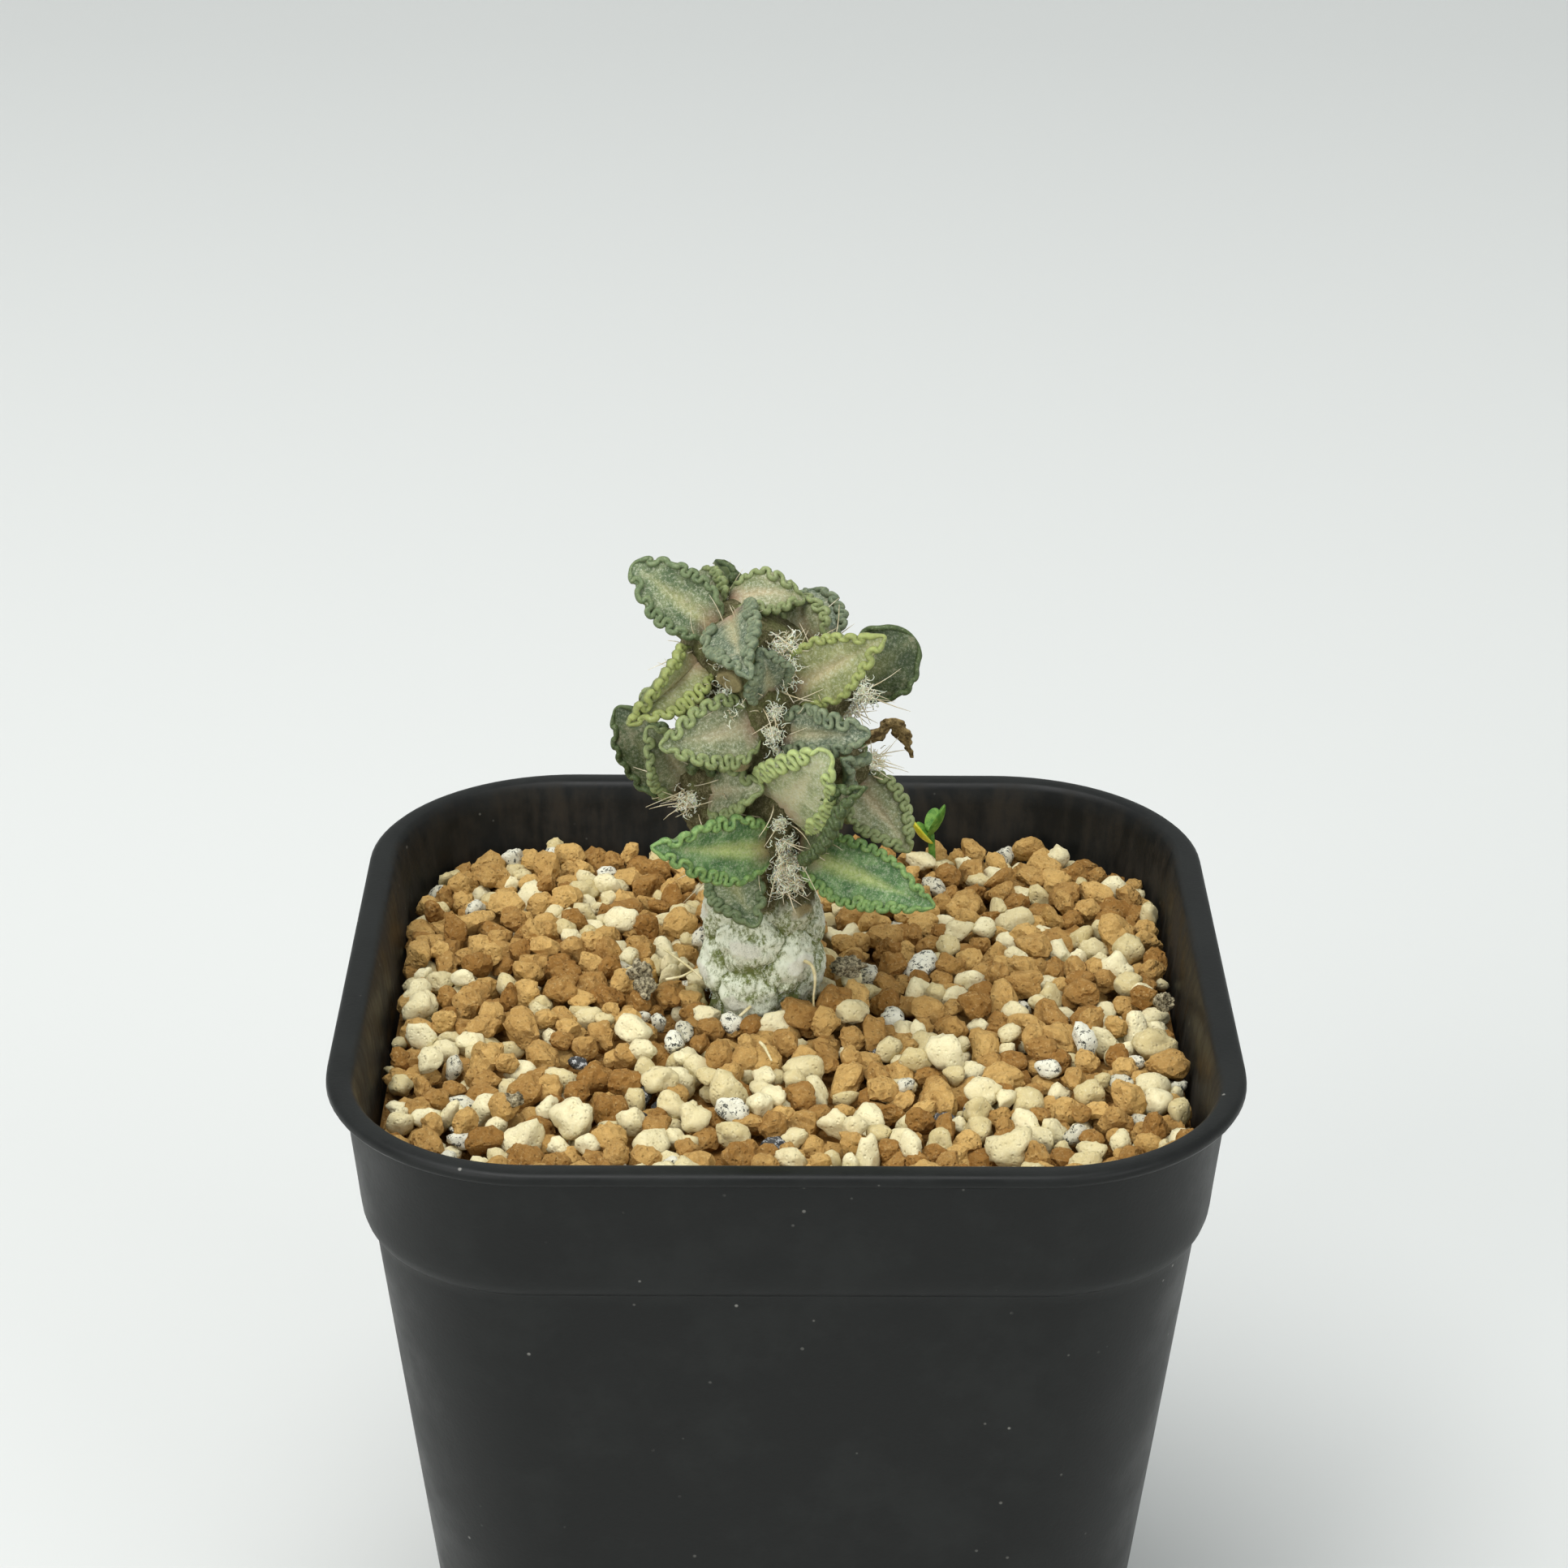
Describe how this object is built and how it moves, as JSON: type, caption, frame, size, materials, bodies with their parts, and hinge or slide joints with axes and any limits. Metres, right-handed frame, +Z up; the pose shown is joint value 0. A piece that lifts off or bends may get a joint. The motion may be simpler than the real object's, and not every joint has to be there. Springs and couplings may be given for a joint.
{
  "type": "potted succulent",
  "caption": "Square tapering plastic pot with a collared rim, filled with granules, holding a short warty-stemmed succulent with crisped leaves",
  "frame": {"origin": "centre of the pot's underside, on the surface that it stands on", "axes": "+Z up along the pot and the stem, -Y towards the viewer, +X to the viewer's right"},
  "size_m": [0.075, 0.075, 0.1108],
  "materials": {
    "pot_plastic": "satin black",
    "granules": "rough brown and cream granules",
    "stem_bark": "flaking silver bark over green",
    "leaf_blade": "mottled matt green",
    "dry_leaf": "dry brown",
    "sprout_green": "fresh green"
  },
  "bodies": {
    "root": {"pot": "pot_plastic", "granule_bed": "granules", "stem": "stem_bark", "leaf_01": "leaf_blade", "leaf_02": "leaf_blade", "leaf_03": "leaf_blade", "leaf_04": "leaf_blade", "leaf_05": "leaf_blade", "leaf_06": "leaf_blade", "leaf_07": "leaf_blade", "leaf_08": "leaf_blade", "leaf_09": "leaf_blade", "leaf_10": "leaf_blade", "leaf_11": "leaf_blade", "leaf_12": "leaf_blade", "leaf_13": "leaf_blade", "leaf_14": "leaf_blade", "leaf_15": "leaf_blade", "leaf_16": "leaf_blade", "leaf_17": "leaf_blade", "leaf_18": "leaf_blade", "leaf_19": "leaf_blade", "leaf_20": "leaf_blade", "leaf_21": "leaf_blade", "leaf_22": "leaf_blade", "leaf_23": "leaf_blade", "leaf_24": "leaf_blade", "leaf_25": "leaf_blade", "leaf_26": "leaf_blade", "leaf_27": "leaf_blade", "leaf_28": "leaf_blade", "leaf_29": "leaf_blade", "leaf_30": "leaf_blade", "leaf_31": "leaf_blade", "leaf_32": "leaf_blade", "leaf_33": "leaf_blade", "leaf_34": "leaf_blade", "leaf_35": "leaf_blade", "leaf_36": "leaf_blade", "withered_leaf": "dry_leaf", "seedling": "sprout_green"}
  },
  "joints": []
}
